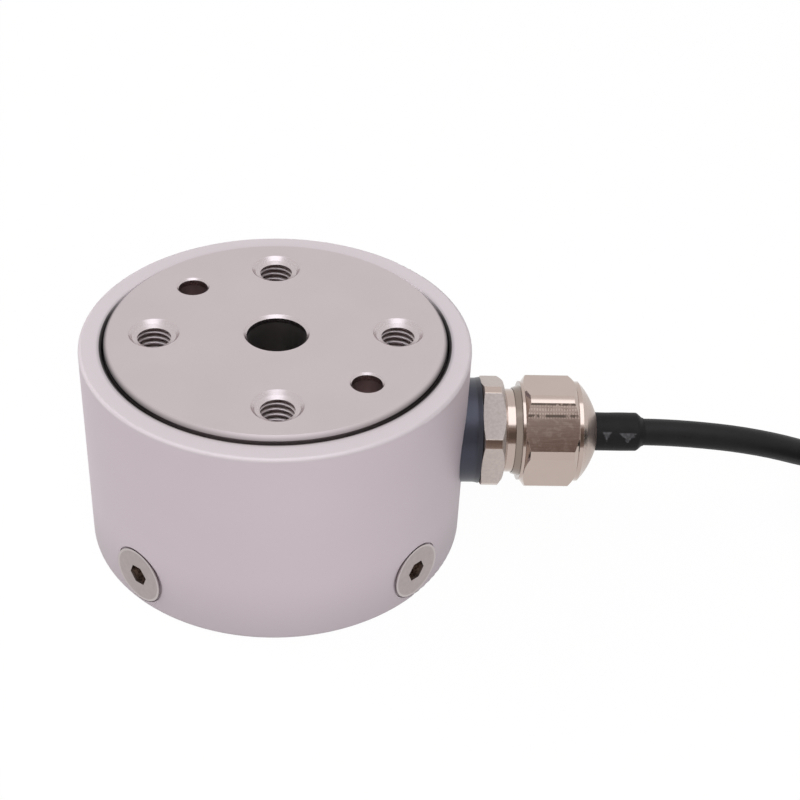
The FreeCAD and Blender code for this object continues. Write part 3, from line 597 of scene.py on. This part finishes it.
def tie_fabric():
    """Woven strap: two crossed rows of threads."""
    made = new_material("tie_fabric", (0.02, 0.02, 0.02), 0.0, 0.85)
    fuzz = grain(made, 0.6 * MM, 3.0)
    feed(made, "Base Color", blended(made, fuzz, (0.013, 0.013, 0.014), (0.035, 0.035, 0.036)))
    place = coordinates(made)
    rows = [bands(made, place, direction, 0.63 * MM, 0.4) for direction in ("X", "Y", "Z")]
    weave = product(made, math_of(made, "MAXIMUM", rows[0], rows[1]), rows[2])
    feed(made, "Roughness", ranged(made, weave, 0.95, 0.75))
    feed(made, "Normal", bumped(made, weave, 0.12 * MM))
    return made


def plastic(name, colour, roughness):
    """Hard plastic, resin or lacquer, faintly clouded."""
    made = new_material(name, colour, 0.0, roughness)
    darker = tuple(0.85 * part for part in colour)
    feed(made, "Base Color", blended(made, grain(made, 2 * MM, 2.0), darker, colour))
    fine = grain(made, 0.3 * MM, 2.0)
    feed(made, "Roughness", ranged(made, fine, roughness - 0.06, roughness + 0.06))
    feed(made, "Normal", bumped(made, fine, 0.004 * MM))
    return made


def metal(name, colour, roughness):
    """Small bare metal piece, faintly clouded."""
    made = new_material(name, colour, 1.0, roughness)
    darker = tuple(0.85 * part for part in colour)
    feed(made, "Base Color", blended(made, grain(made, 1.5 * MM, 3.0), darker, colour))
    fine = grain(made, 0.15 * MM, 2.0)
    feed(made, "Roughness", ranged(made, fine, roughness - 0.07, roughness + 0.07))
    feed(made, "Normal", bumped(made, fine, 0.003 * MM))
    return made


def make_materials():
    """One material for each of the record's slots."""
    return {
        "machined_steel": machined_steel(),
        "anodised_aluminium": anodised_aluminium(),
        "screw_steel": screw_steel(),
        "seal_rubber": rubber("seal_rubber", (0.02, 0.02, 0.02), 0.55),
        "washer_rubber": washer_rubber(),
        "gauge_foil": plastic("gauge_foil", (0.55, 0.30, 0.08), 0.35),
        "terminal_resin": plastic("terminal_resin", (0.45, 0.30, 0.12), 0.45),
        "gauge_wire": plastic("gauge_wire", (0.50, 0.12, 0.05), 0.3),
        "board_resin": plastic("board_resin", (0.03, 0.22, 0.08), 0.35),
        "spacer_brass": metal("spacer_brass", (0.70, 0.52, 0.22), 0.3),
        "board_screw_steel": metal("board_screw_steel", (0.50, 0.49, 0.48), 0.3),
        "resistor_ceramic": plastic("resistor_ceramic", (0.05, 0.05, 0.06), 0.3),
        "plated_brass": plated_brass(),
        "gland_rubber": rubber("gland_rubber", (0.03, 0.03, 0.03), 0.55),
        "gland_nylon": plastic("gland_nylon", (0.75, 0.74, 0.70), 0.45),
        "shrink_tube": shrink_tube(),
        "cable_jacket": rubber("cable_jacket", (0.0095, 0.009, 0.0095), 0.45, 0.15),
        "tie_fabric": tie_fabric(),
        "wire_red": plastic("wire_red", (0.55, 0.03, 0.02), 0.32),
        "wire_black": plastic("wire_black", (0.02, 0.02, 0.02), 0.32),
        "wire_green": plastic("wire_green", (0.03, 0.32, 0.08), 0.32),
        "wire_white": plastic("wire_white", (0.80, 0.79, 0.76), 0.32),
    }


def dress_nodes(materials):
    """Gives every CAD node the material of its slot in the record."""
    for part in frame["record"]["subparts"]:
        slots = nodes[part["node"]].data.materials
        slots.clear()
        slots.append(materials[part["material_slot"]])


# New pieces

def add_piece(name, data, material):
    piece = bpy.data.objects.new(name, data)
    bpy.context.scene.collection.objects.link(piece)
    data.materials.append(material)
    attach(piece, "root")
    return piece


def mesh_of(name, points, faces):
    mesh = bpy.data.meshes.new(name)
    mesh.from_pydata(points, [], faces)
    mesh.shade_smooth()
    mesh.set_sharp_from_angle(angle=SMOOTH_ANGLE)
    return mesh


def smooth_step(value):
    held = min(1.0, max(0.0, value))
    return held * held * (3 - 2 * held)


def coil_points():
    """Cable's middle along the coil: in and out by layers, then up onto the coil for its tail."""
    cable_radius = CABLE_DIAMETER / 2
    low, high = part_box("cable_coil")
    middle = (low + high) / 2
    outer = (high.x - low.x) / 2 - cable_radius
    inner = outer - TURNS_PER_LAYER * COIL_COLUMN_PITCH
    first_height = low.z + cable_radius
    last_height = high.z - cable_radius
    layer_pitch = (last_height - first_height) / (COIL_LAYERS - 1)
    tail_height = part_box("cable_tail")[1].z - cable_radius
    wound = COIL_LAYERS * TURNS_PER_LAYER
    points = []
    for step in range(round((wound + TAIL_TURNS) * STEPS_PER_TURN) + 1):
        turns = step / STEPS_PER_TURN
        layer_share = (turns / TURNS_PER_LAYER) % 2
        inward = layer_share if layer_share < 1 else 2 - layer_share
        radius = outer + (inner - outer) * inward
        height = first_height
        # Each rise to the next layer takes one turn, half of it before the layer ends
        for layer in range(1, COIL_LAYERS):
            height += layer_pitch * smooth_step(turns - layer * TURNS_PER_LAYER + 0.5)
        height += (tail_height - last_height) * smooth_step((turns - wound) / CLIMB_TURNS + 1)
        if turns > wound:
            radius = inner + TAIL_STEP_IN * smooth_step((turns - wound) / TAIL_STEP_IN_TURNS)
        angle = TURN / 4 - TURN * turns
        spot = (middle.x + radius * math.cos(angle), middle.y + radius * math.sin(angle), height)
        points.append(Vector(spot))
    return points


def bar_faces(first, rings, faces):
    """Adds the faces of a closed bar that runs through rings of four points each."""
    for ring in range(rings - 1):
        start = first + 4 * ring
        for side in range(4):
            after = (side + 1) % 4
            faces.append((start + side, start + after, start + 4 + after, start + 4 + side))
    last = first + 4 * (rings - 1)
    faces.append((first + 3, first + 2, first + 1, first))
    faces.append((last, last + 1, last + 2, last + 3))


def make_strap(material):
    """Strap drawn tight round the wound turns, under the tail."""
    low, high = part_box("cable_coil")
    middle = (low + high) / 2
    # The last turn is left out: it climbs onto the coil there
    passes = coil_points()[STRAP_STEP::STEPS_PER_TURN][:-1]
    out = Vector((passes[0].x - middle.x, passes[0].y - middle.y, 0)).normalized()
    up = Vector((0, 0, 1))
    along = up.cross(out)
    foot = Vector((middle.x, middle.y, 0))
    # The cable's spline runs through the middles between its points, a little inside their circle
    spline_share = math.cos(TURN / STEPS_PER_TURN / 2)
    strands = [Vector(((place - foot).dot(out) * spline_share, place.z)) for place in passes]
    rings = STRAP_ROUND_STEPS + STRAP_LAP_STEPS + 1
    points = []
    for ring in range(rings):
        angle = STRAP_START + TURN * ring / STRAP_ROUND_STEPS
        normal = Vector((math.cos(angle), math.sin(angle)))
        held = max(strands, key=normal.dot)
        lapped = smooth_step((ring - STRAP_ROUND_STEPS) / STRAP_RISE_STEPS + 1)
        near = CABLE_DIAMETER / 2 + STRAP_GAP + (STRAP_THICKNESS + STRAP_GAP) * lapped
        far = near + STRAP_THICKNESS
        for side, reach in ((-1, near), (-1, far), (1, far), (1, near)):
            place = held + normal * reach
            points.append(foot + out * place.x + up * place.y + along * side * STRAP_WIDTH / 2)
    faces = []
    bar_faces(0, rings, faces)
    strap = add_piece("coil_strap", mesh_of("coil_strap", points, faces), material)
    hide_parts("coil_tie")
    return strap


def make_cable(material):
    """The whole free cable as one cord, from the heat-shrunk sleeve to its end on the coil."""
    points = [Vector(point) * MM for point in CABLE_ROUTE_MM] + coil_points()
    curve = bpy.data.curves.new("cable", "CURVE")
    curve.dimensions = "3D"
    curve.bevel_depth = CABLE_DIAMETER / 2
    curve.bevel_resolution = CABLE_BEVEL_STEPS
    curve.use_fill_caps = True
    curve.resolution_u = CABLE_SPLINE_STEPS
    spline = curve.splines.new("NURBS")
    spline.points.add(len(points) - 1)
    for place, point in zip(spline.points, points):
        place.co = (*point, 1)
    spline.order_u = 3
    spline.use_endpoint_u = True
    cable = add_piece("cable", curve, material)
    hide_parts("cable_run", "cable_coil", "cable_tail")


def shrink_radius(along, angle):
    """Radius of the heat-shrunk sleeve: slightly wrinkled, pinched in at its free end."""
    cable_radius = CABLE_DIAMETER / 2
    to_end = SHRINK_END - along
    full = smooth_step(to_end / SHRINK_TAPER)
    radius = cable_radius + SHRINK_LIP + (SHRINK_RADIUS - cable_radius - SHRINK_LIP) * full
    across = SHRINK_WRINKLES_ROUND * math.cos(angle)
    upward = SHRINK_WRINKLES_ROUND * math.sin(angle)
    wrinkle = noise.noise(Vector((along / SHRINK_WRINKLE_LENGTH, across, upward)))
    return radius + SHRINK_WRINKLE * wrinkle * full


def make_shrink_sleeve(material):
    """Closed tube round the cable, with its bore on the jacket."""
    axis = Vector((math.cos(GLAND_TURN), math.sin(GLAND_TURN), 0))
    side = Vector((-math.sin(GLAND_TURN), math.cos(GLAND_TURN), 0))
    middle = Vector((0, 0, CABLE_HEIGHT))
    up = Vector((0, 0, 1))
    bore = CABLE_DIAMETER / 2
    rings = [(SHRINK_START, False)]
    for ring in range(SHRINK_RINGS + 1):
        rings.append((SHRINK_START + (SHRINK_END - SHRINK_START) * ring / SHRINK_RINGS, True))
    rings.append((SHRINK_END, False))
    points = []
    for along, outside in rings:
        for number in range(SHRINK_SIDES):
            angle = TURN * number / SHRINK_SIDES
            radius = shrink_radius(along, angle) if outside else bore
            points.append(middle + axis * along + (side * math.cos(angle) + up * math.sin(angle)) * radius)
    faces = []
    for ring in range(len(rings)):
        after = (ring + 1) % len(rings)
        for number in range(SHRINK_SIDES):
            beside = (number + 1) % SHRINK_SIDES
            start, end = ring * SHRINK_SIDES, after * SHRINK_SIDES
            faces.append((start + number, end + number, end + beside, start + beside))
    sleeve = add_piece("shrink_sleeve", mesh_of("shrink_sleeve", points, faces), material)
    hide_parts("cable_sleeve")


def thread_ridge(axis_place, wall_radius, mouth_radius, lowest, mouth_height, points, faces):
    """Adds one right-handed ridge with a flat first and last turn, cut back by the countersink."""
    highest = lowest + THREAD_TURNS * THREAD_PITCH
    steps = (THREAD_TURNS + 2) * THREAD_STEPS_PER_TURN
    foot = wall_radius + THREAD_SINK
    half_foot = THREAD_FOOT_WIDTH / 2
    half_crest = THREAD_CREST_WIDTH / 2
    outline = [(foot, -half_foot), (THREAD_CREST_RADIUS, -half_crest)]
    outline += [(THREAD_CREST_RADIUS, half_crest), (foot, half_foot)]
    first = len(points)
    for step in range(steps + 1):
        turns = step / THREAD_STEPS_PER_TURN
        angle = THREAD_START + TURN * turns
        middle = min(highest, max(lowest, lowest + THREAD_PITCH * (turns - 1)))
        for radius, rise in outline:
            depth = abs(mouth_height - middle - rise)
            if depth < mouth_radius - wall_radius:
                radius = max(radius, mouth_radius - depth + THREAD_SINK)
            spot = Vector((radius * math.cos(angle), radius * math.sin(angle), middle + rise))
            points.append(axis_place + spot)
    bar_faces(first, steps + 1, faces)


def make_threads(name, pattern, face_height, inward, mouth_radius, material):
    """Thread ridges of all tapped holes of one flange."""
    wall = mounts[pattern]["dims"]["hole_r_mm"] * MM
    mouth_end = face_height + inward * (mouth_radius - wall + THREAD_LEAD_IN)
    blind_end = mouth_end + inward * THREAD_TURNS * THREAD_PITCH
    lowest = min(mouth_end, blind_end)
    points = []
    faces = []
    for place in bolt_places():
        thread_ridge(Vector(place), wall, mouth_radius, lowest, face_height, points, faces)
    add_piece(name, mesh_of(name, points, faces), material)


# Stage

def seen_share(owner):
    """1 for what the camera sees directly, mirrored or through glass, else 0."""
    path = add_node(owner, "ShaderNodeLightPath")
    mirrored = math_of(owner, "MAXIMUM", path.outputs["Is Camera Ray"], path.outputs["Is Glossy Ray"])
    return math_of(owner, "MAXIMUM", mirrored, path.outputs["Is Transmission Ray"])


def floor_material():
    """White for what is seen directly or mirrored, plain diffuse for the light that it throws back."""
    made = bpy.data.materials.new("floor")
    made.use_nodes = True
    made.node_tree.nodes.clear()
    share = product(made, seen_share(made), FLOOR_GLOW_SHARE)
    matte = add_node(made, "ShaderNodeBsdfDiffuse", {"Color": (*FLOOR_COLOUR, 1)})
    glow = add_node(made, "ShaderNodeEmission", {"Color": (*WHITE, 1), "Strength": FLOOR_GLOW})
    mix = add_node(made, "ShaderNodeMixShader", {0: share, 1: matte.outputs[0], 2: glow.outputs[0]})
    add_node(made, "ShaderNodeOutputMaterial", {"Surface": mix.outputs[0]})
    return made


def add_floor():
    half = FLOOR_SIZE / 2
    corners = [(-half, -half, 0), (half, -half, 0), (half, half, 0), (-half, half, 0)]
    mesh = bpy.data.meshes.new("floor")
    mesh.from_pydata(corners, [], [(0, 1, 2, 3)])
    mesh.materials.append(floor_material())
    floor = bpy.data.objects.new("floor", mesh)
    floor.location.z = -FLOOR_DROP
    bpy.context.scene.collection.objects.link(floor)


def add_world():
    """White studio with a soft box overhead, a dark room behind the camera and less light from the right."""
    world = bpy.data.worlds.new("studio")
    world.use_nodes = True
    world.node_tree.nodes.clear()
    direction = add_node(world, "ShaderNodeTexCoord").outputs["Generated"]
    in_soft_box = facing(world, direction, SOFT_BOX_AIM, *SOFT_BOX_FADE)
    colour = blended(world, in_soft_box, WHITE, SOFT_BOX_COLOUR)
    for edge, inside, shade in DARK_ROOM_RINGS:
        in_ring = facing(world, direction, DARK_ROOM_AIM, edge, inside)
        colour = blended(world, in_ring, colour, shade)
    path = add_node(world, "ShaderNodeLightPath")
    colour = blended(world, path.outputs["Is Camera Ray"], colour, WHITE)
    seen = add_node(world, "ShaderNodeBackground", {"Color": colour, "Strength": 1.0})
    from_right = ramp(world, part_of(world, direction, "X"), *STUDIO_LIGHT_FADE)
    level = blended(world, from_right, STUDIO_LIGHT_LEFT, STUDIO_LIGHT_RIGHT)
    light = add_node(world, "ShaderNodeBackground", {"Color": level, "Strength": 1.0})
    values = {0: path.outputs["Is Diffuse Ray"], 1: seen.outputs[0], 2: light.outputs[0]}
    mix = add_node(world, "ShaderNodeMixShader", values)
    add_node(world, "ShaderNodeOutputWorld", {"Surface": mix.outputs[0]})
    bpy.context.scene.world = world


def add_lamp(name, azimuth, elevation, power):
    """Soft lamp that shines on the object from these compass and height angles, unseen by mirrors."""
    away = aimed(azimuth, elevation)
    data = bpy.data.lights.new(name, "AREA")
    data.shape = "DISK"
    data.size = LAMP_SIZE
    data.energy = power
    lamp = bpy.data.objects.new(name, data)
    lamp.location = LAMP_TARGET + away * LAMP_DISTANCE
    lamp.rotation_mode = "QUATERNION"
    lamp.rotation_quaternion = (-away).to_track_quat("-Z", "Y")
    lamp.visible_glossy = False
    bpy.context.scene.collection.objects.link(lamp)


def add_camera():
    """Camera by its place, its compass turn, its tilt downwards and its roll."""
    flat = math.cos(CAMERA_PITCH)
    ahead = Vector((math.sin(CAMERA_YAW) * flat, math.cos(CAMERA_YAW) * flat, -math.sin(CAMERA_PITCH)))
    level = Vector((math.cos(CAMERA_YAW), -math.sin(CAMERA_YAW), 0))
    above = level.cross(ahead)
    right = level * math.cos(CAMERA_ROLL) + above * math.sin(CAMERA_ROLL)
    up = above * math.cos(CAMERA_ROLL) - level * math.sin(CAMERA_ROLL)
    data = bpy.data.cameras.new("camera")
    data.sensor_width = SENSOR_WIDTH
    data.lens = SENSOR_WIDTH * FOCAL_LENGTH_PX / IMAGE_WIDTH_PX
    camera = bpy.data.objects.new("camera", data)
    turned = Matrix((right, up, -ahead)).transposed().to_4x4()
    camera.matrix_world = Matrix.Translation(CAMERA_PLACE) @ turned
    bpy.context.scene.collection.objects.link(camera)
    bpy.context.scene.camera = camera


def build():
    materials = make_materials()
    dress_nodes(materials)
    strap = make_strap(materials["tie_fabric"])
    make_cable(materials["cable_jacket"])
    make_shrink_sleeve(materials["shrink_tube"])
    top_face = mounts["top_face"]["pos_m"][2]
    steel = materials["machined_steel"]
    make_threads("top_threads", "top_bolts", top_face, -1, TOP_MOUTH_RADIUS, steel)
    make_threads("base_threads", "base_bolts", 0.0, 1, BASE_MOUTH_RADIUS, steel)
    add_floor()
    add_world()
    for lamp in LAMPS:
        add_lamp(*lamp)
    add_camera()
    bpy.context.scene.view_settings.view_transform = "Standard"


build()
